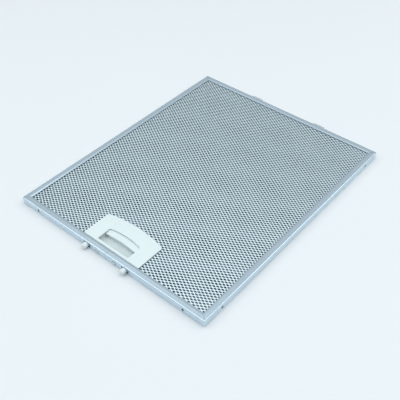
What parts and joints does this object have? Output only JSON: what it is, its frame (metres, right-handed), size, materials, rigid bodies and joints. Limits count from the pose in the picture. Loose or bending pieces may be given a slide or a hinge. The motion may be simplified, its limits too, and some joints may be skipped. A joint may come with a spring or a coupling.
{
  "type": "cooker hood grease filter",
  "caption": "Flat rectangular grease filter: folded metal frame round expanded mesh, with a sprung finger latch, round prongs beside it and tongues on the far edge.",
  "frame": {"origin": "middle of the underside, halfway between the prong tips and the tongue tips", "axes": "+Z out of the face with the finger well, +Y from the latch side to the tongue side, +X across"},
  "size_m": [0.26, 0.332, 0.0085],
  "materials": {
    "frame_aluminium": "satin",
    "mesh_aluminium": "satin",
    "white_plastic": "satin",
    "spring_steel": "bright"
  },
  "bodies": {
    "filter": {"frame": "frame_aluminium", "front_mesh": "mesh_aluminium", "filter_layer_1": "mesh_aluminium", "filter_layer_2": "mesh_aluminium", "filter_layer_3": "mesh_aluminium", "filter_layer_4": "mesh_aluminium", "filter_layer_5": "mesh_aluminium", "rear_mesh": "mesh_aluminium", "latch_housing": "white_plastic", "latch_cover": "white_plastic", "latch_spring": "spring_steel"},
    "slider": {"latch_slider": "white_plastic"}
  },
  "joints": [
    {"name": "latch_slide", "type": "slide", "parent": "filter", "child": "slider", "axis": [0, 1, 0], "range_m": [0, 0.006], "stiffness_N_per_m": 300, "springref_m": -0.01, "deforming": ["latch_spring"]}
  ]
}
